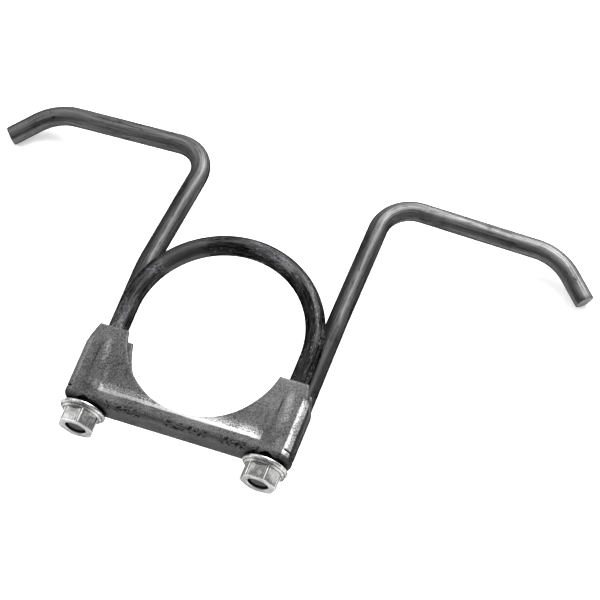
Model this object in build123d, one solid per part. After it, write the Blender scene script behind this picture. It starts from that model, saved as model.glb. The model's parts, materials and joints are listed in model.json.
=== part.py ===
from build123d import *
from math import sqrt
import os

# Exhaust pipe clamp with two hanger rods: a U-bolt pulls a pipe into a pressed steel saddle,
# and a bent rod is welded to the back of each end of the saddle.
# Millimetres. Z is the pipe's axis, the loop of the U-bolt points along +Y and the nuts
# along -Y, and the origin is the centre of the pipe that sits in the saddle.

# Pipe and U-bolt
PIPE_RADIUS = 38.1
BOLT_DIAMETER = 9.5
LEG_X = 45.0
LOOP_CENTRE_Y = 8.5
LEG_END_Y = -56.3
LEG_END_CHAMFER = 0.8

# Saddle: a sheet steel channel around both legs
SHEET = 2.6
SADDLE_WIDTH = 15.8
SADDLE_HALF_LENGTH = 55.3
WEB_Y = -46.0
SHOULDER_Y = -18.0
TOWER_TOP_Y = -6.9
TOWER_TOP_HALF_LENGTH = 51.5
OUTER_BEND = 3.6
END_SLIT = 3.0
RELIEF_HEIGHT = 1.1
RELIEF_Y = -40.5
RELIEF_OVERCUT = 0.4
LEG_HOLE_WIDTH = 12.4
LEG_HOLE_LENGTH = 15.4

# Pressed shapes in the saddle's front wall
PANEL_HALF_LENGTH = 39.8
PANEL_RIDGE_Y = -39.2
PANEL_DEEPEST_Y = -35.2
PANEL_TOP_Y = -21.0
PANEL_DEPTH = 0.9
PANEL_PROUD = 0.01
FLUTE_RADIUS = 4.6
FLUTE_HEIGHT = 0.9
FLUTE_BOTTOM_Y = -39.0
FLUTE_TOP_Y = -11.0

# Flange nuts
NUT_GAP = 1.5
NUT_FLATS = 16.0
LEFT_NUT_TURN = 14.0
RIGHT_NUT_TURN = 5.0
NUT_HEIGHT = 10.0
FLANGE_DIAMETER = 21.9
FLANGE_RIM = 1.3
FLANGE_HEIGHT = 3.9
NUT_BORE = 9.6
NUT_MOUTH = 10.6
NUT_CHAMFER = 1.0

# Hanger rods: each centre line is a polyline with rounded corners, right-hand side
ROD_DIAMETER = 9.5
ROD_X = 48.3
ROD_SHIFT = -1.0
ROD_FOOT_Y = -46.9
ROD_KNEE_Y = 36.0
MAIN_CORNER = (45.3, 107.8, -25.0)
TIP_CORNER = (128.9, 110.0, -34.5)
TIP_END = (147.9, 92.4, -39.0)
KNEE_RADIUS = 60.0
MAIN_RADIUS = 16.8
TIP_RADIUS = 27.5
ROD_CHAMFER = 0.5

# Weld beads between rod and rear wall
WELD_BOTTOM_Y = -41.0
WELD_TOP_Y = -19.0
WELD_RADIUS = 2.4
WELD_OFFSET = 3.8
WELD_END_ROUND = 1.7

# Cutters stand this far past the faces that they cut
BEYOND = 1.0

HALF_WIDTH = SADDLE_WIDTH / 2
ROD_Z = -HALF_WIDTH - ROD_DIAMETER / 2
NUT_TOP_Y = WEB_Y - NUT_GAP


def box_between(low, high):
    """Box between two corners."""
    size = [b - a for a, b in zip(low, high)]
    middle = [(a + b) / 2 for a, b in zip(low, high)]
    return Pos(*middle) * Box(*size)


def along_y(radius, low_y, high_y, x, z):
    """Round bar along Y between two heights."""
    middle = Pos(x, (low_y + high_y) / 2, z)
    return middle * Rot(90, 0, 0) * Cylinder(radius, high_y - low_y)


def u_bolt():
    """Round bar bent to a half circle, with two straight legs."""
    left_end = (-LEG_X, LEG_END_Y)
    left_top = (-LEG_X, LOOP_CENTRE_Y)
    right_top = (LEG_X, LOOP_CENTRE_Y)
    right_end = (LEG_X, LEG_END_Y)
    crown = (0, LOOP_CENTRE_Y + LEG_X)
    loop = ThreePointArc(left_top, crown, right_top)
    line = Line(left_end, left_top) + loop + Line(right_top, right_end)
    section = Plane(origin=(-LEG_X, LEG_END_Y, 0), z_dir=(0, 1, 0)) * Circle(BOLT_DIAMETER / 2)
    bar = sweep(section, path=line)
    ends = bar.faces().filter_by(GeomType.PLANE)
    return chamfer(ends.edges(), LEG_END_CHAMFER).solid()


def saddle_outline(inset, web_y, top_y):
    """Front view of the saddle without its pipe seat, drawn inside its outer face by an inset."""
    slope = (SADDLE_HALF_LENGTH - TOWER_TOP_HALF_LENGTH) / (TOWER_TOP_Y - SHOULDER_Y)
    foot = SADDLE_HALF_LENGTH - inset
    head = foot - slope * (top_y - SHOULDER_Y)
    right = [(foot, web_y), (foot, SHOULDER_Y), (head, top_y)]
    left = [(-x, y) for x, y in reversed(right)]
    return make_face(Polyline(*right, *left, close=True))


def rounded_block(outline, half_width, bend):
    """Outline made solid about the middle, with its edges rounded below the shoulder."""
    block = extrude(Pos(0, 0, -half_width) * outline, 2 * half_width)
    bends = [edge for edge in block.edges() if edge.center().Y < SHOULDER_Y - BEYOND]
    return fillet(bends, bend)


def saddle_shell():
    """Channel with a bent end at each side, open at the top."""
    outside = saddle_outline(0, WEB_Y, TOWER_TOP_Y)
    inside = saddle_outline(SHEET, WEB_Y + SHEET, TOWER_TOP_Y + BEYOND)
    channel = rounded_block(outside, HALF_WIDTH, OUTER_BEND)
    return channel - rounded_block(inside, HALF_WIDTH - SHEET, OUTER_BEND - SHEET)


def panel_press():
    """Shallow trough across the front wall: a ramp up to a sharp ridge, fading out above."""
    face_z = HALF_WIDTH + PANEL_PROUD
    profile = [
        (PANEL_RIDGE_Y, face_z),
        (PANEL_DEEPEST_Y, HALF_WIDTH - PANEL_DEPTH),
        (PANEL_TOP_Y, face_z),
    ]
    face = make_face(Plane.YZ.offset(-PANEL_HALF_LENGTH) * Polyline(*profile, close=True))
    return extrude(face, 2 * PANEL_HALF_LENGTH, dir=(1, 0, 0))


def flute(side):
    """Rounded rib in front of a leg, running out towards the top."""
    axis_z = HALF_WIDTH + FLUTE_HEIGHT - FLUTE_RADIUS
    low = Vector(side * LEG_X, FLUTE_BOTTOM_Y, axis_z)
    high = Vector(side * LEG_X, FLUTE_TOP_Y, axis_z - FLUTE_HEIGHT)
    run = high - low
    bar = Plane(origin=low, z_dir=run) * Cylinder(
        FLUTE_RADIUS, run.length, align=(Align.CENTER, Align.CENTER, Align.MIN)
    )
    rib = bar + Pos(low) * Sphere(FLUTE_RADIUS)
    lowest = (side * LEG_X - FLUTE_RADIUS, FLUTE_BOTTOM_Y - FLUTE_RADIUS, HALF_WIDTH - SHEET / 2)
    highest = (side * LEG_X + FLUTE_RADIUS, FLUTE_TOP_Y, HALF_WIDTH + FLUTE_HEIGHT)
    return rib & box_between(lowest, highest)


def leg_hole(side):
    """Oblong hole in the web, long enough to break into both bends."""
    slot = SlotOverall(LEG_HOLE_LENGTH, LEG_HOLE_WIDTH, rotation=90)
    web = Plane(origin=(side * LEG_X, WEB_Y - BEYOND, 0), x_dir=(1, 0, 0), z_dir=(0, 1, 0))
    return extrude(web * slot, SHEET + 2 * BEYOND)


def side_box(side, inner_x, low_y, high_y, half_width):
    """Box from an inner distance out past one end of the saddle."""
    near, far = sorted((side * inner_x, side * (SADDLE_HALF_LENGTH + BEYOND)))
    return box_between((near, low_y, -half_width), (far, high_y, half_width))


def end_cuts(side):
    """Slit between the two bent ends, the relief notch under them and the open end above them."""
    inner_x = SADDLE_HALF_LENGTH - SHEET - RELIEF_OVERCUT
    notch_low = RELIEF_Y - RELIEF_HEIGHT / 2
    notch_high = RELIEF_Y + RELIEF_HEIGHT / 2
    slit = side_box(side, inner_x, notch_low, SHOULDER_Y + BEYOND, END_SLIT / 2)
    notch = side_box(side, inner_x, notch_low, notch_high, HALF_WIDTH)
    open_end = side_box(side, LEG_X, SHOULDER_Y, TOWER_TOP_Y + BEYOND, HALF_WIDTH - SHEET)
    return slit + notch + open_end


def saddle():
    """The pressed saddle: one sheet with the pipe seat cut into both walls."""
    body = saddle_shell() - panel_press()
    for side in (-1, 1):
        body = body + flute(side)
    body = body - Cylinder(PIPE_RADIUS, 2 * SADDLE_WIDTH)
    for side in (-1, 1):
        body = body - leg_hole(side) - end_cuts(side)
    return body.solid()


def turned(outline):
    """Solid of revolution about Z, from an outline of radius and height."""
    return revolve(Plane.XZ * make_face(Polyline(*outline, close=True)), Axis.Z)


def flange_nut(side):
    """Hexagon nut with a conical flange that faces the web."""
    corner = NUT_FLATS / sqrt(3)
    turn = RIGHT_NUT_TURN if side > 0 else LEFT_NUT_TURN
    outline = RegularPolygon(NUT_FLATS / 2, 6, major_radius=False, rotation=turn)
    hexagon = extrude(outline, NUT_HEIGHT)
    chamfered = turned(
        [
            (0, 0),
            (corner + BEYOND, 0),
            (corner + BEYOND, NUT_HEIGHT - NUT_CHAMFER),
            (corner - NUT_CHAMFER, NUT_HEIGHT),
            (0, NUT_HEIGHT),
        ]
    )
    flange = turned(
        [
            (0, 0),
            (FLANGE_DIAMETER / 2, 0),
            (FLANGE_DIAMETER / 2, FLANGE_RIM),
            (NUT_FLATS / 2, FLANGE_HEIGHT),
            (0, FLANGE_HEIGHT),
        ]
    )
    mouth_depth = NUT_MOUTH - NUT_BORE
    mouth = turned(
        [
            (0, NUT_HEIGHT - mouth_depth),
            (NUT_BORE / 2, NUT_HEIGHT - mouth_depth),
            (NUT_MOUTH / 2, NUT_HEIGHT),
            (0, NUT_HEIGHT),
        ]
    )
    body = (hexagon & chamfered) + flange - mouth - Cylinder(NUT_BORE / 2, 3 * NUT_HEIGHT)
    seat = Plane(origin=(side * LEG_X, NUT_TOP_Y, 0), x_dir=(1, 0, 0), z_dir=(0, -1, 0))
    return seat * body


def rod_foot_x(side):
    """Place of a rod's foot along the saddle: both feet sit a little to the left."""
    return side * ROD_X + ROD_SHIFT


def rod_centre_line(side):
    """Centre line of a hanger rod: foot, knee, main bend and tip bend."""
    foot = [(rod_foot_x(side), y, ROD_Z) for y in (ROD_FOOT_Y, ROD_KNEE_Y)]
    hook = [(side * x, y, z) for x, y, z in (MAIN_CORNER, TIP_CORNER, TIP_END)]
    return FilletPolyline(*foot, *hook, radius=[KNEE_RADIUS, MAIN_RADIUS, TIP_RADIUS])


def hanger_rod(side):
    """Round bar bent along its centre line, with both ends broken by a small chamfer."""
    foot = Plane(origin=(rod_foot_x(side), ROD_FOOT_Y, ROD_Z), z_dir=(0, 1, 0))
    bar = sweep(foot * Circle(ROD_DIAMETER / 2), path=rod_centre_line(side))
    ends = bar.faces().filter_by(GeomType.PLANE)
    return chamfer(ends.edges(), ROD_CHAMFER).solid()


def weld_bead(side, offset, pressed, rod):
    """Fillet weld in the corner between a rod and the rear wall of the saddle."""
    x = rod_foot_x(side) + offset
    z = -HALF_WIDTH - WELD_RADIUS / 2
    bead = along_y(WELD_RADIUS, WELD_BOTTOM_Y, WELD_TOP_Y, x, z)
    bead = fillet(bead.edges().filter_by(GeomType.CIRCLE), WELD_END_ROUND)
    low = (x - 2 * WELD_RADIUS, WELD_BOTTOM_Y - BEYOND, z - 2 * WELD_RADIUS)
    high = (x + 2 * WELD_RADIUS, WELD_TOP_Y + BEYOND, -HALF_WIDTH)
    bead = (bead & box_between(low, high)).solid()
    pieces = (bead - rod - pressed).solids()
    return pieces.sort_by(SortBy.VOLUME)[-1]


def write(name, shape):
    """Write one sub-part to its own file."""
    export_step(shape, "parts/" + name + ".step")


os.makedirs("parts", exist_ok=True)
pressed_saddle = saddle()
write("saddle", pressed_saddle)
write("u_bolt", u_bolt())
for side, word in ((-1, "left"), (1, "right")):
    rod = hanger_rod(side)
    write("hanger_rod_" + word, rod)
    write("flange_nut_" + word, flange_nut(side))
    write("weld_inner_" + word, weld_bead(side, -side * WELD_OFFSET, pressed_saddle, rod))
    write("weld_outer_" + word, weld_bead(side, side * WELD_OFFSET, pressed_saddle, rod))
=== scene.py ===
import json
from math import cos, pi, radians, sin, sqrt, tan

import bmesh
import bpy
import numpy as np
from bpy.props import FloatProperty, FloatVectorProperty, IntProperty, PointerProperty
from bpy.types import Operator, Panel, PropertyGroup
from mathutils import Matrix, Vector


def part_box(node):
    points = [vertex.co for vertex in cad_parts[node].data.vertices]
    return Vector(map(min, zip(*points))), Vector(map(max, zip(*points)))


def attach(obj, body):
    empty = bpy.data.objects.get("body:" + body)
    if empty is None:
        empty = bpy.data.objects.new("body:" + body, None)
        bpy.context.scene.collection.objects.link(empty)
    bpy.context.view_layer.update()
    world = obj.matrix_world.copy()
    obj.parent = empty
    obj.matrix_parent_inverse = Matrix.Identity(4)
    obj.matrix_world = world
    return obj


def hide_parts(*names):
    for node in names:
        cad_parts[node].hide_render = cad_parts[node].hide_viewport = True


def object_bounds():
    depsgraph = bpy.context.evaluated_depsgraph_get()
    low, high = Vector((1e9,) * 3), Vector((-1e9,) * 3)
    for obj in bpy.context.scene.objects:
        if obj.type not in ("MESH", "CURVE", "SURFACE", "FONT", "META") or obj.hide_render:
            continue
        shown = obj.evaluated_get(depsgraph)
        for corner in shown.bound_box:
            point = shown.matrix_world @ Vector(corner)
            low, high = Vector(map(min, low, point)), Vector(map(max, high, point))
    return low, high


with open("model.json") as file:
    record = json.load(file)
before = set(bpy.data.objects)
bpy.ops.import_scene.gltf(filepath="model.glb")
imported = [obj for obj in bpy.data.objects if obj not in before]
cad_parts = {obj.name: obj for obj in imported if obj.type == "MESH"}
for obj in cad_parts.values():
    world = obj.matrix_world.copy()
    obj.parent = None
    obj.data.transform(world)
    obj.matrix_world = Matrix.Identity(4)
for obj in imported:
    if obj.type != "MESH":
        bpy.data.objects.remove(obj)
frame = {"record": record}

bl_info = {
    "name": "Exhaust Hanger Clamp",
    "version": (1, 0, 0),
    "blender": (4, 5, 0),
    "location": "View3D > Sidebar > Clamp",
    "description": "Models a U-bolt exhaust clamp with two welded hanger rods",
    "category": "Add Mesh",
}

# Sizes taken from the frame. Metres; Z is the pipe's axis, +Y runs from the nuts to the loop.
MM = 0.001
CAD_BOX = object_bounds()
SADDLE_LOW, SADDLE_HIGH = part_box("saddle")
BOLT_LOW, BOLT_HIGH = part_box("u_bolt")
NUT_LOW, NUT_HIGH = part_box("flange_nut_right")
ROD_FOOT_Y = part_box("hanger_rod_right")[0].y
MOUNTS = {mount["name"]: mount for mount in frame["record"]["mounts"]}
SEAT_RADIUS = MOUNTS["pipe_clamp"]["dims"]["r_mm"] * MM
HALF_WIDTH = -SADDLE_LOW.z
BAR_RADIUS = BOLT_HIGH.z
LEG_X = (NUT_LOW.x + NUT_HIGH.x) / 2
LOOP_Y = BOLT_HIGH.y - BAR_RADIUS - LEG_X
SIDES = ((-1, "left"), (1, "right"))


def length(text, words, default):
    """Length property with its name, description and default."""
    return FloatProperty(name=text, description=words, default=default, unit="LENGTH", precision=5)


def angle(text, words, degrees):
    """Angle property with its name, description and default in degrees."""
    return FloatProperty(name=text, description=words, default=radians(degrees), subtype="ANGLE")


def spot(text, words, x, y, z):
    """Place property with its name, description and default."""
    return FloatVectorProperty(
        name=text, description=words, default=(x, y, z), subtype="TRANSLATION", precision=5
    )


def colour(text, words, red, green, blue):
    """Colour property with its name, description and default."""
    return FloatVectorProperty(
        name=text, description=words, default=(red, green, blue), subtype="COLOR", min=0, max=1
    )


class BoltSizes(PropertyGroup):
    pitch: length("Thread pitch", "Distance from one thread to the next", 1.5875 * MM)
    depth: length("Thread depth", "From the crest to the root of the thread", 0.85 * MM)
    thread_top: length("Thread top", "Height at which the thread ends, inside the saddle", -14 * MM)
    chamfer: length("End chamfer", "Chamfer at the end of each leg", 0.8 * MM)


class SaddleSizes(PropertyGroup):
    sheet: length("Sheet", "Thickness of the sheet", 2.6 * MM)
    bend: length("Bend radius", "Outer radius of the bends", 3.6 * MM)
    shoulder: length("Shoulder", "Height at which the bent ends stop", -18 * MM)
    tower: length("Tower half length", "Half of the length at the top of the towers", 51.5 * MM)
    slit: length("End slit", "Gap between the two bent flaps of one end", 3 * MM)
    relief: length("Relief height", "Height of the cut under the bent ends", 0.7 * MM)
    relief_y: length("Relief place", "Height of the middle of that cut", -40.5 * MM)
    hole: length("Leg hole width", "Width of the oblong hole for a leg", 12.4 * MM)
    hole_length: length("Leg hole length", "Length of the oblong hole for a leg", 15.4 * MM)
    panel: length("Panel half length", "Half of the length of the pressed panel", 39.8 * MM)
    ridge: length("Panel ridge", "Height of the panel's sharp lower edge", -39.2 * MM)
    panel_depth: length("Panel depth", "Deepest point of the pressed panel", 0.9 * MM)
    flute_height: length("Flute height", "How far the flutes stand out", 0.85 * MM)
    edge: length("Edge break", "Softness of the sheared edges", 0.28 * MM)


class NutSizes(PropertyGroup):
    flats: length("Across flats", "Spanner size of the nut", 16 * MM)
    rim: length("Flange rim", "Thickness of the flange at its rim", 1.3 * MM)
    cone: length("Flange height", "Height at which the flange meets the hexagon", 3.9 * MM)
    chamfer: length("Chamfer", "Chamfer of the hexagon's corners", 0.75 * MM)
    clearance: length("Thread clearance", "Radial play between nut and leg", 0.08 * MM)
    mouth: length("Mouth", "Radius of the countersunk mouth", 5.4 * MM)
    turn_left: angle("Left nut's turn", "Turn of the left nut's corners", 14)
    turn_right: angle("Right nut's turn", "Turn of the right nut's corners", 5)
    hex_edge: length("Corner softness", "Softness of the hexagon's long corners", 0.22 * MM)
    mouth_depth: length("Mouth depth", "Depth of the plain bore before the thread", 1.9 * MM)


class RodSizes(PropertyGroup):
    axis_x: length("Rod place", "Distance of a rod's foot from the middle", 48.3 * MM)
    shift: length("Rod shift", "How far both feet and knees sit to the left of that place", 1.0 * MM)
    knee_y: length("Knee height", "Height of the slight bend", 36 * MM)
    main_corner: spot("Main corner", "Corner of the right rod's main bend", 45.3 * MM, 107.8 * MM, -25 * MM)
    tip_corner: spot("Tip corner", "Corner of its tip bend", 128.9 * MM, 110 * MM, -34.5 * MM)
    knee: length("Knee radius", "Radius of the slight bend", 60 * MM)
    main: length("Main bend radius", "Radius of the bend above the loop", 16.8 * MM)
    tip: length("Tip bend radius", "Radius of the bend near the tip", 27.5 * MM)
    chamfer: length("End chamfer", "Chamfer at both ends", 0.5 * MM)


class WeldSizes(PropertyGroup):
    radius: length("Bead radius", "Radius of the weld bead", 2.2 * MM)
    ripple: length("Ripple height", "Height of the ripples on the bead", 0.3 * MM)
    ripples: IntProperty(name="Ripples", description="Number of ripples on one bead", default=17, min=1)


class FinishColours(PropertyGroup):
    zinc: colour("Zinc", "Plated nuts", 0.44, 0.44, 0.436)
    sheet: colour("Sheet", "Pressed steel of the saddle", 0.05, 0.05, 0.05)
    # Bright colour for the saddle's wear and for its painted highlights.
    worn_and_highlit: colour("Rubbed steel", "Bright steel where the saddle is rubbed", 0.3, 0.3, 0.297)
    bolt: colour("Bolt", "Oiled dark steel of the U-bolt", 0.018, 0.018, 0.0185)
    rod: colour("Rod", "Drawn steel of the hanger rods", 0.054, 0.054, 0.0545)
    sawn: colour("Sawn steel", "Freshly cut ends of the rods", 0.22, 0.22, 0.215)
    weld: colour("Weld", "Weld metal", 0.036, 0.035, 0.034)
    floor: colour("Floor", "Plain pale floor", 0.93, 0.93, 0.93)


class StageSizes(PropertyGroup):
    distance: length("Distance", "From the camera to its target", 1.846)
    azimuth: angle("Azimuth", "Turn of the camera about the pipe's axis", 32.6)
    elevation: angle("Elevation", "Height of the camera over the floor", 62.5)
    roll: angle("Roll", "Turn of the camera about its own axis", 13.15)
    target_x: length("Target X", "Where the camera looks, along the saddle", 30.1 * MM)
    target_y: length("Target Y", "Where the camera looks, towards the loop", 35.7 * MM)
    lens: FloatProperty(name="Lens", description="Focal length", default=240, unit="CAMERA")
    key: FloatProperty(name="Key light", description="Power of the key light", default=58, unit="POWER")
    fill: FloatProperty(name="Fill light", description="Power of the fill light", default=8, unit="POWER")
    sky: FloatProperty(name="Sky", description="Strength of the light from the brighter side", default=1.25)
    shade_side: FloatProperty(name="Shade", description="Strength from the dimmer side", default=0.5)
    key_place: spot("Key place", "Key light, from the target", 0.35, 0.95, 0.9)
    fill_place: spot("Fill place", "Fill light, from the target", -1.1, 0.1, 1.0)


# Modelling steps that every piece uses


def clear_selection():
    """Go to object mode with nothing selected."""
    active = bpy.context.view_layer.objects.active
    if active and active.mode != "OBJECT":
        bpy.ops.object.mode_set(mode="OBJECT")
    bpy.ops.object.select_all(action="DESELECT")


def settle(name):
    """Name the new primitive and put its place into its mesh."""
    piece = bpy.context.object
    piece.name = name
    piece.data.name = name
    bpy.ops.object.transform_apply(location=True, rotation=True, scale=True)
    return piece


def edit(piece):
    """Open one piece in edit mode with all of it selected."""
    clear_selection()
    piece.select_set(True)
    bpy.context.view_layer.objects.active = piece
    bpy.ops.object.mode_set(mode="EDIT")
    bpy.ops.mesh.select_mode(type="VERT")
    bpy.ops.mesh.select_all(action="SELECT")


def done():
    """Go back to object mode."""
    bpy.ops.object.mode_set(mode="OBJECT")


def pick(piece, kind, test):
    """Select the vertices, edges or faces that pass a test, and nothing else."""
    bpy.ops.mesh.select_mode(type=kind)
    bpy.ops.mesh.select_all(action="DESELECT")
    shape = bmesh.from_edit_mesh(piece.data)
    shape.normal_update()
    for item in {"VERT": shape.verts, "EDGE": shape.edges, "FACE": shape.faces}[kind]:
        if test(item):
            item.select_set(True)
    shape.select_flush_mode()
    bmesh.update_edit_mesh(piece.data)


def apply_step(piece, kind, **settings):
    """Add one modifier and apply it."""
    clear_selection()
    piece.select_set(True)
    bpy.context.view_layer.objects.active = piece
    step = piece.modifiers.new(kind.title(), kind)
    for name, value in settings.items():
        setattr(step, name, value)
    bpy.ops.object.modifier_apply(modifier=step.name)


def carve(piece, tool, operation="DIFFERENCE"):
    """Cut, join or intersect a piece with a tool, which is used up."""
    apply_step(piece, "BOOLEAN", object=tool, operation=operation, solver="EXACT")
    bpy.data.objects.remove(tool, do_unlink=True)


def block(name, low, high):
    """Box between two corners, made from a cube."""
    clear_selection()
    low, high = Vector(low), Vector(high)
    bpy.ops.mesh.primitive_cube_add(size=1, location=(low + high) / 2, scale=high - low)
    return settle(name)


def draw_line(name, points):
    """Open line, extruded from point to point."""
    clear_selection()
    bpy.ops.mesh.primitive_plane_add(size=MM, location=points[0])
    piece = settle(name)
    edit(piece)
    bpy.ops.mesh.merge(type="CENTER")
    for before, after in zip(points, points[1:]):
        bpy.ops.mesh.extrude_vertices_move(TRANSFORM_OT_translate={"value": Vector(after) - Vector(before)})
    done()
    return piece


def prism(name, outline, half_width):
    """Straight prism along Z, from an outline of x and y."""
    points = [(x, y, -half_width) for x, y in outline]
    piece = draw_line(name, points)
    edit(piece)
    bpy.ops.mesh.edge_face_add()
    bpy.ops.mesh.select_all(action="SELECT")
    bpy.ops.mesh.extrude_region_move(TRANSFORM_OT_translate={"value": (0, 0, 2 * half_width)})
    done()
    mend(piece)
    return piece


def mend(piece):
    """Merge doubles and turn every face outwards."""
    edit(piece)
    bpy.ops.mesh.remove_doubles(threshold=0.001 * MM)
    bpy.ops.mesh.normals_make_consistent(inside=False)
    done()


def turned(name, outline, x, steps):
    """Solid of revolution about an axis along Y, from an outline of radius and height."""
    piece = draw_line(name, [(x + radius, height, 0) for radius, height in outline])
    edit(piece)
    bpy.ops.mesh.spin(steps=steps, angle=2 * pi, center=(x, 0, 0), axis=(0, 1, 0))
    done()
    mend(piece)
    return piece


def smooth(piece, degrees):
    """Smooth shading with creases at the sharper edges."""
    clear_selection()
    piece.select_set(True)
    bpy.context.view_layer.objects.active = piece
    bpy.ops.object.shade_smooth_by_angle(angle=radians(degrees))


def weigh(piece, name, share):
    """Vertex group whose weights follow a function of place."""
    group = piece.vertex_groups.new(name=name)
    for vertex in piece.data.vertices:
        weight = share(vertex.co)
        if weight > 0:
            group.add([vertex.index], min(weight, 1), "REPLACE")


def step_between(low, high, value):
    """Smooth step from 0 at low to 1 at high."""
    share = min(max((value - low) / (high - low), 0), 1)
    return share * share * (3 - 2 * share)


def hand_over(piece, body, slot, *nodes):
    """Let the piece stand for its CAD nodes and move with their body."""
    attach(piece, body)
    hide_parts(*nodes)


class Bar:
    """Round bar grown from a circle by extrusions and spins."""

    SIDES = 48

    def __init__(self, name, start, along):
        clear_selection()
        self.place = Vector(start)
        self.along = Vector(along).normalized()
        self.side = self.along.orthogonal().normalized()
        self.length = 0.0
        self.stations = []
        lean = Vector((0, 0, 1)).rotation_difference(self.along).to_euler()
        bpy.ops.mesh.primitive_circle_add(
            vertices=self.SIDES, radius=BAR_RADIUS, location=self.place, rotation=lean
        )
        self.piece = settle(name)
        self.remember()
        edit(self.piece)

    def remember(self):
        """Note where the bar has come to."""
        self.stations.append((self.place.copy(), self.along.copy(), self.side.copy(), self.length))

    def straight(self, distance, steps):
        """Extrude a straight run."""
        for _ in range(steps):
            move = self.along * (distance / steps)
            bpy.ops.mesh.extrude_region_move(TRANSFORM_OT_translate={"value": move})
            self.place += move
            self.length += move.length
            self.remember()

    def bend(self, centre, axis, turn, steps):
        """Spin one bend. The spin operator counts its angle the other way round."""
        bpy.ops.mesh.spin(steps=steps, angle=-turn, center=centre, axis=axis)
        one = Matrix.Rotation(turn / steps, 3, axis)
        for _ in range(steps):
            arm = self.place - centre
            self.place = centre + one @ arm
            self.along = one @ self.along
            self.side = one @ self.side
            self.length += arm.length * turn / steps
            self.remember()

    def close(self, chamfer):
        """Fill both ends and chamfer their rims."""
        bpy.ops.mesh.select_all(action="SELECT")
        bpy.ops.mesh.fill_holes(sides=0)
        bpy.ops.mesh.select_all(action="SELECT")
        bpy.ops.mesh.normals_make_consistent(inside=False)
        if chamfer:
            pick(self.piece, "FACE", lambda face: len(face.verts) > 4)
            bpy.ops.mesh.bevel(offset=chamfer, segments=2, affect="EDGES")
        done()

    def unroll(self):
        """Store each point's place on the bar as if the bar were straight, for the streaks."""
        mesh = self.piece.data
        points = np.empty(len(mesh.vertices) * 3)
        mesh.vertices.foreach_get("co", points)
        points = points.reshape(-1, 3)
        centres = np.array([station[0] for station in self.stations])
        nearest = ((points[:, None] - centres[None]) ** 2).sum(2).argmin(1)
        flat = np.empty_like(points)
        for index, (place, along, side, distance) in enumerate(self.stations):
            mine = nearest == index
            offset = points[mine] - np.array(place)
            flat[mine, 0] = offset @ np.array(side)
            flat[mine, 1] = offset @ np.array(along.cross(side))
            flat[mine, 2] = distance + offset @ np.array(along)
        store = mesh.attributes.new("unrolled", "FLOAT_VECTOR", "POINT")
        store.data.foreach_set("vector", flat.ravel())


# Shader maths


class Wire:
    """Shader value that Python's operators turn into Math nodes."""

    def __init__(self, finish, socket):
        self.finish = finish
        self.socket = socket

    def __add__(self, other):
        return self.finish.math("ADD", self, other)

    def __sub__(self, other):
        return self.finish.math("SUBTRACT", self, other)

    def __rsub__(self, other):
        return self.finish.math("SUBTRACT", other, self)

    def __mul__(self, other):
        return self.finish.math("MULTIPLY", self, other)

    __radd__ = __add__
    __rmul__ = __mul__


class Finish:
    """One material and its nodes."""

    EDGE_TINT = 0.3

    def __init__(self, name):
        self.material = bpy.data.materials.new(name)
        self.material.use_nodes = True
        self.tree = self.material.node_tree
        self.tree.nodes.clear()

    def node(self, kind, settings=None, sockets=None, out=0):
        """Add a node: its settings first, then its sockets' values or links."""
        node = self.tree.nodes.new("ShaderNode" + kind)
        for name, value in (settings or {}).items():
            setattr(node, name, value)
        for name, value in (sockets or {}).items():
            if isinstance(value, Wire):
                self.tree.links.new(value.socket, node.inputs[name])
            else:
                node.inputs[name].default_value = value
        return Wire(self, node.outputs[out]) if node.outputs else node

    def math(self, operation, *values):
        return self.node("Math", {"operation": operation}, dict(enumerate(values)))

    def above(self, value, low, high):
        """0 below low, 1 above high, smooth between."""
        settings = {"interpolation_type": "SMOOTHSTEP"}
        return self.node("MapRange", settings, {"Value": value, "From Min": low, "From Max": high})

    def between(self, value, low, high, soft):
        """1 between two values, falling to 0 over a soft margin."""
        return self.above(value, low - soft, low) * (1 - self.above(value, high, high + soft))

    def place(self, axes=(1, 1, 1), turn=(0, 0, 0)):
        """Place on the piece, stretched and turned."""
        spot = self.node("TexCoord", out=3)
        return self.node("Mapping", sockets={"Vector": spot, "Scale": axes, "Rotation": turn})

    def unrolled(self, axes=(1, 1, 1)):
        """Place on a bar as if it were straight."""
        spot = self.node("Attribute", {"attribute_name": "unrolled"}, out=1)
        return self.node("Mapping", sockets={"Vector": spot, "Scale": axes})

    def part(self, spot, axis):
        """One coordinate of a place."""
        return self.node("SeparateXYZ", sockets={"Vector": spot}, out="XYZ".index(axis))

    def noise(self, spot, scale, detail=3, rough=0.55):
        return self.node(
            "TexNoise", sockets={"Vector": spot, "Scale": scale, "Detail": detail, "Roughness": rough}
        )

    def mix(self, share, first, second):
        """Mix of two colours."""
        pair = {0: share, 6: opaque(first), 7: opaque(second)}
        return self.node("Mix", {"data_type": "RGBA"}, pair, out=2)

    def bump(self, height, strength, distance):
        return self.node("Bump", sockets={"Height": height, "Strength": strength, "Distance": distance})

    def metal(self, colour, rough, normal):
        """Metal surface with darkened edges, and its output."""
        sockets = {"Base Color": colour, "Roughness": rough, "Normal": normal, "Metallic": 1.0}
        sockets["Specular Tint"] = (self.EDGE_TINT, self.EDGE_TINT, self.EDGE_TINT, 1.0)
        surface = self.node("BsdfPrincipled", sockets=sockets)
        self.node("OutputMaterial", sockets={"Surface": surface})
        return self.material


class Sky(Finish):
    """Light from all round, brighter from the loop's side."""

    def __init__(self, name, dim, bright):
        self.world = bpy.data.worlds.new(name)
        self.world.use_nodes = True
        self.tree = self.world.node_tree
        self.tree.nodes.clear()
        direction = self.node("TexCoord")
        share = self.above(self.part(direction, "Y"), -0.7, 0.9)
        strength = share * (bright - dim) + dim
        light = self.node("Background", sockets={"Color": (1, 1, 1, 1), "Strength": strength})
        self.node("OutputWorld", sockets={"Surface": light})


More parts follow.
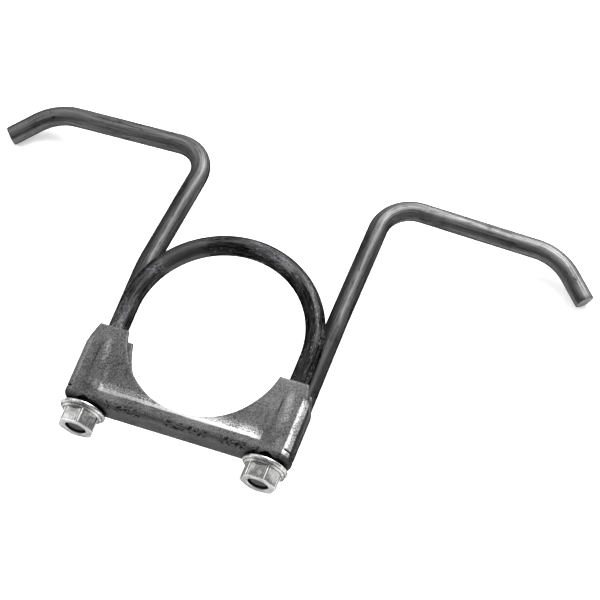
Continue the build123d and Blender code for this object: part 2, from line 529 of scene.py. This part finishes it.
def opaque(colour):
    """Colour with its alpha, for a socket; a wire stays as it is."""
    return colour if isinstance(colour, Wire) else (*colour[:3], 1.0)


def shade(colour, share):
    """Darker or lighter version of a colour."""
    return tuple(min(channel * share, 1) for channel in colour)


# Finishes


def pressed_steel(colours, sizes):
    """Speckled sheet: pits on the front bend, painted shadow at the leg holes, a panel ramp with a painted
    highlight and wear, end bends with a broken painted highlight, painted shade on the end walls and a
    lighter web as painted light.
    """
    finish = Finish("pressed_steel")
    spot = finish.place()
    x = finish.part(spot, "X")
    y = finish.part(spot, "Y")
    z = finish.part(spot, "Z")
    grain = finish.noise(spot, 1250, 4, 0.75)
    cloud = finish.noise(spot, 70, 4, 0.6)
    fine = finish.noise(spot, 3600, 2)
    front = finish.above(z, 4 * MM, 6 * MM)
    far = finish.math("ABSOLUTE", x)

    wander = (cloud - 0.5) * (3 * MM)
    # Painted highlight: a bright band along the panel's lower ridge, stronger towards the right where the
    # light falls, mixed with noisy wear fading up from it.
    ramp = finish.between(y + wander * 0.4, sizes.ridge, sizes.ridge + 1.6 * MM, 0.5 * MM)
    fade = 1 - finish.above(y + wander, sizes.ridge + 1.8 * MM, sizes.ridge + 7.5 * MM)
    fade = fade * finish.above(y, sizes.ridge - 0.15 * MM, sizes.ridge + 0.3 * MM)
    across = finish.between(x, -sizes.panel, sizes.panel, 0.5 * MM)
    wear = finish.above(grain + cloud * 0.5 + ramp * 0.16, 0.68, 0.9)
    rightward = 0.3 + finish.above(x, -36 * MM, 20 * MM) * 0.7
    worn_and_highlit = finish.math("MAXIMUM", ramp * (0.12 + wear * 0.7), fade * wear) * across * front * rightward
    # Painted highlight: a broken bright strip down the front of each end bend, stronger on the right end.
    strip_length = finish.between(y, -42.5 * MM, -15 * MM, 1.2 * MM)
    strip = finish.between(far, 52 * MM, 54.7 * MM, 0.4 * MM) * finish.above(z, 4.5 * MM, 5.2 * MM)
    strip = strip * finish.above(cloud * 0.6 + grain, 0.62, 0.86) * strip_length
    bright = finish.math("MAXIMUM", worn_and_highlit, strip * (0.3 + finish.above(x, 0, MM) * 0.6))

    # Painted shadow: near black around the leg holes on the web, where the gap under the nut flanges lies
    # in shade.
    leg = far - LEG_X
    leg_radius = finish.math("SQRT", leg * leg + z * z)
    hole_shadow = (1 - finish.above(leg_radius, 9 * MM, 12 * MM)) * (1 - finish.above(y, -45.8 * MM, -44 * MM))
    # Painted light: the web is given a lighter tone than the front wall.
    web = 1 - finish.above(y, -45.4 * MM, -42.4 * MM)
    # Painted shade: the end walls are darkened.
    ends = finish.above(far, 53.8 * MM, 54.7 * MM)
    pit_field = finish.noise(finish.place((1, 2.2, 2.2)), 620, 3, 0.65)
    pit_rows = finish.between(y, -45.4 * MM, -43.4 * MM, 0.7 * MM) * front
    gather = finish.above(finish.noise(finish.place((1, 0.1, 0.1)), 105, 2), 0.45, 0.56)
    pits = finish.above(pit_field, 0.49, 0.54) * pit_rows * gather
    pores = finish.above(finish.noise(spot, 900, 3, 0.7), 0.66, 0.72)

    speck = finish.above(grain, 0.4, 0.6)
    blotch = finish.above(cloud, 0.32, 0.68)
    tone = 0.12 + speck * 0.56 + blotch * 0.34 + web * 0.3 - ends * 0.15
    # Painted shade: the sheet beyond the bends is darkened further.
    bend = finish.above(far, 52 * MM, 53.5 * MM) * 0.45
    base = finish.mix(tone, shade(colours.sheet, 0.22), shade(colours.sheet, 2.1))
    base = finish.mix(bend, base, shade(colours.sheet, 0.3))
    base = finish.mix(bright, base, colours.worn_and_highlit)
    base = finish.mix(pores * 0.6, base, shade(colours.sheet, 0.2))
    base = finish.mix(pits * 0.94, base, shade(colours.sheet, 0.05))
    base = finish.mix(hole_shadow * 0.95, base, shade(colours.sheet, 0.04))
    rough = 0.46 + fine * 0.18 - bright * 0.18 + pits * 0.3
    height = grain * 0.8 + fine * 0.3 + cloud * 0.5 - pits * 1.6 - pores * 0.6
    normal = finish.bump(height, 0.7, 0.14 * MM)
    return finish.metal(base, rough, normal)


def drawn_steel(colours):
    """Drawn rod: long streaks, grime and dark nicks; darker near the foot as painted shadow, lighter on the
    arm as painted light.
    """
    finish = Finish("rod_steel")
    streak = finish.noise(finish.unrolled((1, 1, 0.03)), 1500, 4, 0.7)
    broad = finish.noise(finish.unrolled((1, 1, 0.07)), 420, 3, 0.6)
    cloud = finish.noise(finish.unrolled(), 120, 4, 0.65)
    grit = finish.noise(finish.unrolled(), 2400, 3, 0.7)
    nicks = finish.above(finish.noise(finish.unrolled((1, 1, 0.35)), 560, 3, 0.7), 0.65, 0.7)
    light = finish.above(streak, 0.38, 0.64) * 0.55 + finish.above(broad, 0.35, 0.65) * 0.35
    light = light + finish.above(grit, 0.4, 0.7) * 0.14 - finish.above(cloud, 0.5, 0.7) * 0.22
    along = finish.part(finish.unrolled(), "Z")
    # Painted light: the arm gets lighter dark and pale tones, as it is lit more.
    arm = finish.above(along, 120 * MM, 160 * MM)
    # Painted shadow: the streaks are dimmed near the foot, where the saddle and the U-bolt shade the rod.
    light = light * (0.5 + finish.above(along, 50 * MM, 90 * MM) * 0.5)
    dark = finish.mix(arm, shade(colours.rod, 0.2), shade(colours.rod, 0.4))
    pale = finish.mix(arm, shade(colours.rod, 1.15), shade(colours.rod, 2.4))
    base = finish.mix(light, dark, pale)
    base = finish.mix(nicks * 0.85, base, shade(colours.rod, 0.1))
    rough = 0.36 + cloud * 0.16 + grit * 0.12 + nicks * 0.2
    normal = finish.bump(streak + grit * 0.4 + broad * 0.5 - nicks * 1.4, 0.6, 0.12 * MM)
    return finish.metal(base, rough, normal)


def oiled_steel(colours):
    """Black oiled scale with bright flecks and one smooth patch carrying a painted highlight; darker on the
    loop's right half.
    """
    finish = Finish("bolt_steel")
    spot = finish.unrolled()
    along = finish.part(spot, "Z")
    streak = finish.noise(finish.unrolled((1, 1, 0.08)), 1300, 4, 0.7)
    fleck_field = finish.noise(finish.unrolled((1, 1, 0.45)), 1500, 4, 0.75)
    gather = finish.noise(finish.unrolled((1, 1, 0.22)), 230, 3, 0.6)
    grit = finish.noise(spot, 2600, 3, 0.7)
    flecks = finish.above(fleck_field + (gather - 0.5) * 0.9, 0.55, 0.65)
    scale_patch = finish.above(finish.noise(finish.unrolled((1, 1, 0.3)), 170, 3, 0.6), 0.4, 0.56)
    # Painted highlight: a bright patch on the loop's arc, which is also a little smoother.
    smooth_highlit_patch = finish.between(along, 52 * MM, 68 * MM, 7 * MM)
    flecks = flecks * (1 - smooth_highlit_patch * 0.85)
    y = finish.part(finish.place(), "Y")
    sheared = 1 - finish.above(y, BOLT_LOW.y + 0.2 * MM, BOLT_LOW.y + 0.5 * MM)
    tone = finish.above(streak, 0.38, 0.64) * 0.6 + scale_patch * 0.3 + smooth_highlit_patch * 0.6
    tone = tone * (1 - finish.above(along, 100 * MM, 135 * MM) * 0.5)
    base = finish.mix(tone, shade(colours.bolt, 0.1), shade(colours.bolt, 2.8))
    base = finish.mix(flecks * 0.8, base, shade(colours.bolt, 5.5))
    base = finish.mix(sheared, base, shade(colours.bolt, 6))
    rough = 0.3 + grit * 0.16 - smooth_highlit_patch * 0.06 + flecks * 0.1
    normal = finish.bump(streak * 0.7 + flecks * 0.8 + grit * 0.5, 0.7, 0.14 * MM)
    return finish.metal(base, rough, normal)


def sawn_steel(colours):
    """Cut face with saw lines."""
    finish = Finish("sawn_steel")
    lines = finish.noise(finish.place((1, 0.05, 1), (0, 0, radians(35))), 2600, 2)
    patch = finish.noise(finish.place(), 420, 3)
    base = finish.mix(finish.above(lines + patch * 0.5, 0.5, 1.0), shade(colours.sawn, 0.6), colours.sawn)
    normal = finish.bump(lines, 0.5, 0.08 * MM)
    return finish.metal(base, 0.42 + patch * 0.15, normal)


def zinc_plate(colours):
    """Plated nut: scuffs, grime, painted highlights on the corners and the lower end, painted shade as dark
    rings on the flange and as a dark bore.
    """
    finish = Finish("zinc_plate")
    spot = finish.place()
    x = finish.math("ABSOLUTE", finish.part(spot, "X")) - LEG_X
    z = finish.part(spot, "Z")
    y = finish.part(spot, "Y")
    radius = finish.math("SQRT", x * x + z * z)
    # Painted shade: the bore is darkened to stand for the shade inside the hole.
    bore = 1 - finish.above(radius, 4.95 * MM, 5.35 * MM)
    # Painted shade: two dark rings on the flange stand for the shade of its grooves.
    inner_ring_shade = finish.between(radius, 8.85 * MM, 9.0 * MM, 0.16 * MM)
    ring_shade = inner_ring_shade + finish.between(radius, 9.95 * MM, 10.1 * MM, 0.16 * MM)
    flange = finish.above(y, NUT_HIGH.y - 5 * MM, NUT_HIGH.y - 4 * MM)
    cone = finish.between(radius, 7.7 * MM, 8.5 * MM, 0.5 * MM) * flange
    cloud = finish.noise(spot, 260, 4, 0.65)
    scuffs = finish.noise(finish.place((1, 0.1, 1)), 1700, 4, 0.7)
    dirt = finish.above(finish.noise(spot, 520, 4, 0.7), 0.56, 0.68)
    hexagon = 1 - finish.above(y, NUT_HIGH.y - 4.3 * MM, NUT_HIGH.y - 4 * MM)
    # Painted highlight: the hexagon's corners and the nut's lower end are lightened.
    corners = finish.above(radius, 8.65 * MM, 8.9 * MM) * hexagon
    end = 1 - finish.above(y, NUT_LOW.y + 0.25 * MM, NUT_LOW.y + 0.6 * MM)
    corner_and_end_highlight = finish.math("MAXIMUM", corners, end * 0.5)
    light = finish.above(cloud, 0.36, 0.6) * 0.5 + finish.above(scuffs, 0.38, 0.58) * 0.5
    light = light - hexagon * (1 - corner_and_end_highlight) * 0.35
    base = finish.mix(light, shade(colours.zinc, 0.3), shade(colours.zinc, 1.1))
    base = finish.mix(corner_and_end_highlight * 0.75, base, shade(colours.zinc, 1.7))
    base = finish.mix(dirt * 0.55, base, shade(colours.zinc, 0.16))
    base = finish.mix(cone * (0.35 + dirt * 0.5), base, shade(colours.zinc, 0.12))
    base = finish.mix(ring_shade * (0.45 + cloud * 0.8), base, shade(colours.zinc, 0.06))
    base = finish.mix(bore * 0.92, base, shade(colours.zinc, 0.04))
    rough = 0.22 + cloud * 0.12 + dirt * 0.2 + bore * 0.2
    normal = finish.bump(scuffs * 0.8 + cloud * 0.5, 0.4, 0.08 * MM)
    return finish.metal(base, rough, normal)


def weld_metal(colours):
    """Rippled bead, dark with lighter crests and small pores."""
    finish = Finish("weld_metal")
    spot = finish.place()
    ripple = finish.noise(finish.place((0.3, 1, 0.3)), 700, 2)
    scale = finish.noise(spot, 300, 4, 0.6)
    pores = finish.above(finish.noise(spot, 1800, 2), 0.68, 0.76)
    crest = finish.above(ripple + scale * 0.6, 0.55, 1.05)
    base = finish.mix(crest, shade(colours.weld, 0.5), shade(colours.weld, 2))
    base = finish.mix(pores, base, shade(colours.weld, 0.15))
    normal = finish.bump(ripple + scale - pores, 0.4, 0.1 * MM)
    return finish.metal(base, 0.34 + scale * 0.25, normal)


def pale_floor(colours):
    """Plain pale floor with a faint glow, which softens the shadows."""
    finish = Finish("pale_floor")
    mottle = finish.noise(finish.place(), 9, 2)
    base = finish.mix(mottle, shade(colours.floor, 0.985), colours.floor)
    glow = {"Emission Color": (1, 1, 1, 1), "Emission Strength": 0.35}
    surface = finish.node("BsdfPrincipled", sockets={"Base Color": base, "Roughness": 0.9, **glow})
    finish.node("OutputMaterial", sockets={"Surface": surface})
    return finish.material


# Pieces


def threaded_leg(x, sizes, low, high, growth):
    """Helical thread about an axis along Y, closed by flat ends."""
    crest = BAR_RADIUS - 0.02 * MM + growth
    root = BAR_RADIUS - sizes.depth + growth
    start = BOLT_LOW.y - 4.63 * sizes.pitch
    flat = sizes.pitch / 8
    flank = (sizes.pitch - 2 * flat) / 2
    outline = [
        (x + root, start, 0),
        (x + root, start + flat, 0),
        (x + crest, start + flat + flank, 0),
        (x + crest, start + 2 * flat + flank, 0),
        (x + root, start + sizes.pitch, 0),
    ]
    piece = draw_line("thread", outline)
    clear_selection()
    piece.select_set(True)
    bpy.context.view_layer.objects.active = piece
    bpy.context.scene.cursor.location = (x, 0, 0)
    bpy.ops.object.origin_set(type="ORIGIN_CURSOR")
    apply_step(
        piece,
        "SCREW",
        axis="Y",
        angle=2 * pi,
        screw_offset=sizes.pitch,
        iterations=int((high - start) / sizes.pitch) + 2,
        steps=32,
        render_steps=32,
        use_merge_vertices=True,
        merge_threshold=0.002 * MM,
        use_smooth_shade=False,
    )
    bpy.ops.object.transform_apply(location=True, rotation=True, scale=True)
    for height, way in ((low, -1), (high, 1)):
        edit(piece)
        bpy.ops.mesh.bisect(plane_co=(0, height, 0), plane_no=(0, way, 0), use_fill=True, clear_outer=True)
        done()
    mend(piece)
    return piece


def make_u_bolt(sizes):
    """Bar bent to a half circle, with a thread on each leg."""
    seam = sizes.thread_top - MM
    bar = Bar("u_bolt_bar", (-LEG_X, seam, 0), (0, 1, 0))
    bar.straight(LOOP_Y - seam, 12)
    bar.bend(Vector((0, LOOP_Y, 0)), Vector((0, 0, -1)), pi, 96)
    bar.straight(LOOP_Y - seam, 12)
    bar.close(0)
    for side, _ in SIDES:
        leg = threaded_leg(side * LEG_X, sizes, BOLT_LOW.y, sizes.thread_top, 0)
        end = turned(
            "leg_end",
            [
                (0, BOLT_LOW.y),
                (BAR_RADIUS - sizes.chamfer, BOLT_LOW.y),
                (BAR_RADIUS + 0.1 * MM, BOLT_LOW.y + sizes.chamfer),
                (BAR_RADIUS + 0.1 * MM, sizes.thread_top + MM),
                (0, sizes.thread_top + MM),
            ],
            side * LEG_X,
            48,
        )
        carve(leg, end, "INTERSECT")
        carve(bar.piece, leg, "UNION")
    bar.unroll()
    smooth(bar.piece, 28)
    return bar.piece


def round_corner(before, corner, after, radius):
    """Start, centre, axis and turn of the arc that rounds a corner of a line."""
    inward = (corner - before).normalized()
    outward = (after - corner).normalized()
    turn = inward.angle(outward)
    axis = inward.cross(outward).normalized()
    start = corner - inward * (radius * tan(turn / 2))
    return start, start + axis.cross(inward) * radius, axis, turn


def make_hanger_rod(side, word, sizes):
    """Round bar with a slight knee, a main bend and a tip bend."""
    tip = MOUNTS["hanger_tip_" + word]
    tip_way = Vector(tip["axis"])
    tip_end = Vector(tip["pos_m"]) + tip_way * (tip["dims"]["length_mm"] / 2 * MM)
    depth = SADDLE_LOW.z - BAR_RADIUS
    mirror = Vector((side, 1, 1))
    foot_x = side * sizes.axis_x - sizes.shift
    corners = [
        Vector((foot_x, ROD_FOOT_Y, depth)),
        Vector((foot_x, sizes.knee_y, depth)),
        Vector(sizes.main_corner) * mirror,
        Vector(sizes.tip_corner) * mirror,
        tip_end,
    ]
    bar = Bar("hanger_rod_" + word + "_bar", corners[0], corners[1] - corners[0])
    radii = (sizes.knee, sizes.main, sizes.tip)
    for index, radius in enumerate(radii):
        start, centre, axis, turn = round_corner(*corners[index : index + 3], radius)
        bar.straight((start - bar.place).length, 14)
        bar.bend(centre, axis, turn, max(8, round(turn / radians(3))))
    bar.straight((corners[-1] - bar.place).length, 6)
    bar.close(sizes.chamfer)
    bar.unroll()
    smooth(bar.piece, 28)
    return bar.piece


def saddle_shell(sizes):
    """Sheet channel with rounded bends, open at the top."""
    low = Vector((-SADDLE_HIGH.x, SADDLE_LOW.y, -HALF_WIDTH))
    high = Vector((SADDLE_HIGH.x, SADDLE_HIGH.y, HALF_WIDTH))
    piece = block("saddle_sheet", low, high)
    edit(piece)
    top = SADDLE_HIGH.y - 0.01 * MM
    pick(piece, "EDGE", lambda edge: min(end.co.y for end in edge.verts) < top)
    bpy.ops.mesh.bevel(offset=sizes.bend, segments=7, affect="EDGES")
    pick(piece, "FACE", lambda face: min(corner.co.y for corner in face.verts) > top)
    bpy.ops.mesh.delete(type="FACE")
    done()
    apply_step(piece, "SOLIDIFY", thickness=sizes.sheet, offset=-1, use_even_offset=True)
    lean = (SADDLE_HIGH.x - sizes.tower) / (SADDLE_HIGH.y - sizes.shoulder)
    above = 2 * MM
    for side, word in SIDES:
        slope = [
            (SADDLE_HIGH.x + lean * above, sizes.shoulder - above),
            (SADDLE_HIGH.x + 4 * MM, sizes.shoulder - above),
            (SADDLE_HIGH.x + 4 * MM, SADDLE_HIGH.y + above),
            (sizes.tower - lean * above, SADDLE_HIGH.y + above),
        ]
        carve(piece, prism("slope_" + word, [(side * x, y) for x, y in slope], 2 * HALF_WIDTH))
    return piece


def leg_slot(side, sizes):
    """Cutter for the oblong leg hole."""
    clear_selection()
    bpy.ops.mesh.primitive_cylinder_add(
        vertices=48,
        radius=sizes.hole / 2,
        depth=4 * sizes.sheet,
        location=(side * LEG_X, SADDLE_LOW.y, 0),
        rotation=(pi / 2, 0, 0),
    )
    tool = settle("leg_slot")
    stretch = (sizes.hole_length - sizes.hole) / 2
    edit(tool)
    for way in (-1, 1):
        pick(tool, "VERT", lambda corner: corner.co.z * way > 0)
        bpy.ops.transform.translate(value=(0, 0, way * stretch))
    done()
    return tool


def cut_saddle(piece, sizes):
    """Cut the pipe seat, the end slits and the relief cuts."""
    clear_selection()
    bpy.ops.mesh.primitive_cylinder_add(
        vertices=240, radius=SEAT_RADIUS, depth=4 * HALF_WIDTH, location=(0, 0, 0)
    )
    carve(piece, settle("seat"))
    beyond = SADDLE_HIGH.x + MM
    inner = SADDLE_HIGH.x - sizes.sheet - 0.4 * MM
    low_y = sizes.relief_y - sizes.relief / 2
    high_y = sizes.relief_y + sizes.relief / 2
    for side, _ in SIDES:
        near, far = sorted((side * inner, side * beyond))
        slit_low = (near, low_y + 0.1 * MM, -sizes.slit / 2)
        carve(piece, block("slit", slit_low, (far, SADDLE_HIGH.y + MM, sizes.slit / 2)))
        relief_low = (near, low_y, -HALF_WIDTH - MM)
        carve(piece, block("relief", relief_low, (far, high_y, HALF_WIDTH + MM)))
    mend(piece)


def press_saddle(piece, sizes):
    """Press the panel into the front wall and the flutes out of it."""
    fine = 1.1 * MM
    columns = int(2 * SADDLE_HIGH.x / fine)
    rows = int((SADDLE_HIGH.y - SADDLE_LOW.y) / fine)
    edit(piece)
    for column in range(1, columns):
        bpy.ops.mesh.select_all(action="SELECT")
        bpy.ops.mesh.bisect(plane_co=(-SADDLE_HIGH.x + column * fine, 0, 0), plane_no=(1, 0, 0))
    for row in range(1, rows):
        bpy.ops.mesh.select_all(action="SELECT")
        bpy.ops.mesh.bisect(plane_co=(0, SADDLE_LOW.y + row * fine, 0), plane_no=(0, 1, 0))
    for height in (sizes.ridge, sizes.ridge + 0.4 * MM):
        bpy.ops.mesh.select_all(action="SELECT")
        bpy.ops.mesh.bisect(plane_co=(0, height, 0), plane_no=(0, 1, 0))
    done()
    inside = HALF_WIDTH - sizes.sheet - 0.5 * MM

    def panel_share(spot):
        if spot.z < inside:
            return 0
        ends = 1 - step_between(sizes.panel - 1.2 * MM, sizes.panel, abs(spot.x))
        down = (spot.y - sizes.ridge) / (4.4 * MM)
        down = min(max(down, 0), 1) ** 0.8
        out = 1 - step_between(sizes.ridge + 4 * MM, -20 * MM, spot.y)
        return ends * down * out

    def flute_share(spot):
        if spot.z < inside:
            return 0
        up = step_between(sizes.ridge - 2.5 * MM, sizes.ridge + 3 * MM, spot.y)
        runs_out = 1 - step_between(-20 * MM, -11 * MM, spot.y)
        half = 3.3 * MM - (spot.y - sizes.ridge) * 0.045
        ridge = 1 - step_between(half - 1.1 * MM, half, abs(abs(spot.x) - LEG_X))
        return up * runs_out * ridge

    weigh(piece, "panel", panel_share)
    weigh(piece, "flutes", flute_share)
    apply_step(
        piece, "DISPLACE", direction="Z", vertex_group="panel", mid_level=0, strength=-sizes.panel_depth
    )
    apply_step(
        piece, "DISPLACE", direction="Z", vertex_group="flutes", mid_level=0, strength=sizes.flute_height
    )


def make_saddle(sizes):
    """Pressed saddle of one sheet."""
    piece = saddle_shell(sizes)
    cut_saddle(piece, sizes)
    apply_step(
        piece,
        "BEVEL",
        width=sizes.edge,
        segments=2,
        limit_method="ANGLE",
        angle_limit=radians(40),
        use_clamp_overlap=False,
    )
    for side, _ in SIDES:
        carve(piece, leg_slot(side, sizes))
    mend(piece)
    press_saddle(piece, sizes)
    smooth(piece, 30)
    return piece


def make_nut(side, word, sizes, bolt):
    """Hexagon nut with a conical flange and a real thread."""
    x = side * LEG_X
    top = NUT_HIGH.y
    low = NUT_LOW.y
    corner = sizes.flats / sqrt(3)
    clear_selection()
    bpy.ops.mesh.primitive_cylinder_add(
        vertices=6,
        radius=corner,
        depth=top - low,
        location=(x, (low + top) / 2, 0),
        rotation=(pi / 2, 0, 0),
    )
    piece = settle("flange_nut_" + word + "_plated")
    edit(piece)
    turn = getattr(sizes, "turn_" + word) - pi / 6
    bpy.ops.transform.rotate(value=turn, orient_axis="Y", center_override=(x, 0, 0))
    pick(piece, "EDGE", lambda edge: abs(edge.verts[0].co.y - edge.verts[1].co.y) > MM)
    bpy.ops.mesh.bevel(offset=sizes.hex_edge, segments=2, affect="EDGES")
    done()
    chamfer = [
        (0, low),
        (corner - sizes.chamfer, low),
        (corner + MM, low + (sizes.chamfer + MM) * tan(radians(30))),
        (corner + MM, top + MM),
        (0, top + MM),
    ]
    carve(piece, turned("chamfer", chamfer, x, 72), "INTERSECT")
    apply_step(piece, "BEVEL", width=0.1 * MM, segments=2, limit_method="ANGLE", angle_limit=radians(24))
    rim = (NUT_HIGH.x - NUT_LOW.x) / 2
    soft = 0.35 * MM
    flange = [
        (0, top),
        (rim - soft, top),
        (rim - soft * 0.3, top - soft * 0.3),
        (rim, top - soft),
        (rim, top - sizes.rim + soft),
        (rim - soft * 0.3, top - sizes.rim + soft * 0.3),
        (rim - soft, top - sizes.rim - soft * 0.2),
        (sizes.flats / 2 + 0.3 * MM, top - sizes.cone + 0.35 * MM),
        (sizes.flats / 2 - 0.2 * MM, top - sizes.cone - 0.15 * MM),
        (0, top - sizes.cone - 0.15 * MM),
    ]
    carve(piece, turned("flange", flange, x, 72), "UNION")
    wall = BAR_RADIUS + 0.15 * MM
    for face, way, depth in ((low, 1, sizes.mouth_depth), (top, -1, sizes.mouth_depth / 3)):
        mouth = [
            (0, face - way * MM),
            (sizes.mouth + MM, face - way * MM),
            (sizes.mouth, face),
            (wall, face + way * (sizes.mouth - wall)),
            (wall, face + way * depth),
            (0, face + way * (depth + wall)),
        ]
        carve(piece, turned("mouth", mouth, x, 48))
    bore = threaded_leg(x, bolt, low - MM, top + MM, sizes.clearance)
    carve(piece, bore)
    smooth(piece, 25)
    return piece


def make_weld(word, place, sizes):
    """Fillet weld bead with ripples and rounded ends."""
    low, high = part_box("weld_" + place + "_" + word)
    radius = sizes.radius
    x = (low.x + high.x) / 2
    clear_selection()
    bpy.ops.mesh.primitive_cylinder_add(
        vertices=28,
        radius=radius,
        depth=high.y - low.y,
        location=(x, (low.y + high.y) / 2, -HALF_WIDTH - radius * 0.42),
        rotation=(pi / 2, 0, 0),
    )
    piece = settle("weld_" + place + "_" + word + "_bead")
    edit(piece)
    pick(piece, "FACE", lambda face: len(face.verts) > 4)
    bpy.ops.mesh.bevel(offset=radius * 0.72, segments=6, affect="EDGES")
    for row in range(1, 96):
        bpy.ops.mesh.select_all(action="SELECT")
        height = low.y + (high.y - low.y) * row / 96
        bpy.ops.mesh.bisect(plane_co=(0, height, 0), plane_no=(0, 1, 0))
    done()
    gap = (high.y - low.y) / sizes.ripples

    def ripple_share(spot):
        bow = (spot.x - x) ** 2 / radius * 0.55
        phase = ((spot.y - low.y + bow) / gap) % 1
        return phase ** 0.6 * (1 - step_between(0.82, 1.0, phase))

    weigh(piece, "ripples", ripple_share)
    apply_step(piece, "DISPLACE", vertex_group="ripples", mid_level=1, strength=sizes.ripple)
    smooth(piece, 40)
    return piece


# Operators


class CLAMP_OT_u_bolt(Operator):
    """Model the U-bolt"""

    bl_idname = "clamp.u_bolt"
    bl_label = "U-bolt"

    def execute(self, context):
        scene = context.scene
        piece = make_u_bolt(scene.clamp_bolt)
        piece.data.materials.clear()
        piece.data.materials.append(oiled_steel(scene.clamp_colours))
        hand_over(piece, "u_bolt", "bolt_steel", "u_bolt")
        return {"FINISHED"}


class CLAMP_OT_hanger_rods(Operator):
    """Model the two hanger rods"""

    bl_idname = "clamp.hanger_rods"
    bl_label = "Hanger rods"

    def execute(self, context):
        scene = context.scene
        drawn = drawn_steel(scene.clamp_colours)
        sawn = sawn_steel(scene.clamp_colours)
        for side, word in SIDES:
            piece = make_hanger_rod(side, word, scene.clamp_rod)
            piece.data.materials.append(drawn)
            piece.data.materials.append(sawn)
            for face in piece.data.polygons:
                face.material_index = 1 if face.loop_total > 4 else 0
            hand_over(piece, "clamp_body", "rod_steel", "hanger_rod_" + word)
        return {"FINISHED"}


class CLAMP_OT_saddle(Operator):
    """Model the pressed saddle"""

    bl_idname = "clamp.saddle"
    bl_label = "Saddle"

    def execute(self, context):
        scene = context.scene
        piece = make_saddle(scene.clamp_saddle)
        piece.data.materials.append(pressed_steel(scene.clamp_colours, scene.clamp_saddle))
        hand_over(piece, "clamp_body", "pressed_steel", "saddle")
        return {"FINISHED"}


class CLAMP_OT_flange_nuts(Operator):
    """Model the two flange nuts"""

    bl_idname = "clamp.flange_nuts"
    bl_label = "Flange nuts"

    def execute(self, context):
        scene = context.scene
        plated = zinc_plate(scene.clamp_colours)
        for side, word in SIDES:
            piece = make_nut(side, word, scene.clamp_nut, scene.clamp_bolt)
            piece.data.materials.clear()
            piece.data.materials.append(plated)
            hand_over(piece, "nut_" + word, "zinc_plate", "flange_nut_" + word)
        return {"FINISHED"}


class CLAMP_OT_welds(Operator):
    """Model the four weld beads"""

    bl_idname = "clamp.welds"
    bl_label = "Welds"

    def execute(self, context):
        scene = context.scene
        bead = weld_metal(scene.clamp_colours)
        for _, word in SIDES:
            for place in ("inner", "outer"):
                piece = make_weld(word, place, scene.clamp_weld)
                piece.data.materials.append(bead)
                hand_over(piece, "clamp_body", "weld_metal", "weld_" + place + "_" + word)
        return {"FINISHED"}


class CLAMP_OT_stage(Operator):
    """Set the floor, the lights and the camera"""

    bl_idname = "clamp.stage"
    bl_label = "Stage"

    def execute(self, context):
        scene = context.scene
        stage = scene.clamp_stage
        clear_selection()
        floor_z = CAD_BOX[0].z - 0.3 * MM
        bpy.ops.mesh.primitive_plane_add(size=14, location=(0, 0, floor_z))
        floor = settle("floor")
        floor.data.materials.append(pale_floor(scene.clamp_colours))
        target = Vector((stage.target_x, stage.target_y, 0))
        add_camera(scene, stage, target)
        add_light("key", stage.key, 0.9, target + Vector(stage.key_place), target)
        add_light("fill", stage.fill, 1.2, target + Vector(stage.fill_place), target)
        scene.world = Sky("studio", stage.shade_side, stage.sky).world
        scene.view_settings.view_transform = "Standard"
        return {"FINISHED"}


def add_camera(scene, stage, target):
    """Camera at its distance, turned to the target and rolled about its own axis."""
    across = cos(stage.elevation)
    back = Vector((sin(stage.azimuth) * across, -cos(stage.azimuth) * across, sin(stage.elevation)))
    camera = bpy.data.objects.new("camera", bpy.data.cameras.new("camera"))
    scene.collection.objects.link(camera)
    turn = (-back).to_track_quat("-Z", "Y").to_matrix() @ Matrix.Rotation(-stage.roll, 3, "Z")
    camera.matrix_world = Matrix.Translation(target + back * stage.distance) @ turn.to_4x4()
    camera.data.lens = stage.lens
    camera.data.clip_start = 0.1
    camera.data.clip_end = 30
    scene.camera = camera


def add_light(name, power, size, place, target):
    """Square soft light that points at the target."""
    lamp = bpy.data.lights.new(name, "AREA")
    lamp.energy = power
    lamp.size = size
    light = bpy.data.objects.new(name, lamp)
    light.location = place
    light.rotation_euler = (target - place).to_track_quat("-Z", "Y").to_euler()
    bpy.context.scene.collection.objects.link(light)


class CLAMP_PT_panel(Panel):
    """Sizes, colours and steps of the clamp"""

    bl_idname = "CLAMP_PT_panel"
    bl_label = "Exhaust Hanger Clamp"
    bl_space_type = "VIEW_3D"
    bl_region_type = "UI"
    bl_category = "Clamp"

    def draw(self, context):
        for step in STEPS:
            self.layout.operator(step.bl_idname)
        for name, group in GROUPS.items():
            box = self.layout.box()
            box.label(text=name.replace("_", " "))
            for setting in group.__annotations__:
                box.prop(getattr(context.scene, name), setting)


GROUPS = {
    "clamp_bolt": BoltSizes,
    "clamp_saddle": SaddleSizes,
    "clamp_nut": NutSizes,
    "clamp_rod": RodSizes,
    "clamp_weld": WeldSizes,
    "clamp_colours": FinishColours,
    "clamp_stage": StageSizes,
}
STEPS = (
    CLAMP_OT_u_bolt,
    CLAMP_OT_hanger_rods,
    CLAMP_OT_saddle,
    CLAMP_OT_flange_nuts,
    CLAMP_OT_welds,
    CLAMP_OT_stage,
)


def register():
    for kind in (*GROUPS.values(), *STEPS, CLAMP_PT_panel):
        bpy.utils.register_class(kind)
    for name, group in GROUPS.items():
        setattr(bpy.types.Scene, name, PointerProperty(type=group))


def unregister():
    for name in GROUPS:
        delattr(bpy.types.Scene, name)
    for kind in (CLAMP_PT_panel, *reversed(STEPS), *reversed(GROUPS.values())):
        bpy.utils.unregister_class(kind)


def main():
    """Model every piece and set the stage."""
    register()
    bpy.ops.clamp.u_bolt()
    bpy.ops.clamp.hanger_rods()
    bpy.ops.clamp.saddle()
    bpy.ops.clamp.flange_nuts()
    bpy.ops.clamp.welds()
    bpy.ops.clamp.stage()
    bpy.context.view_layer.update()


if __name__ == "__main__":
    main()
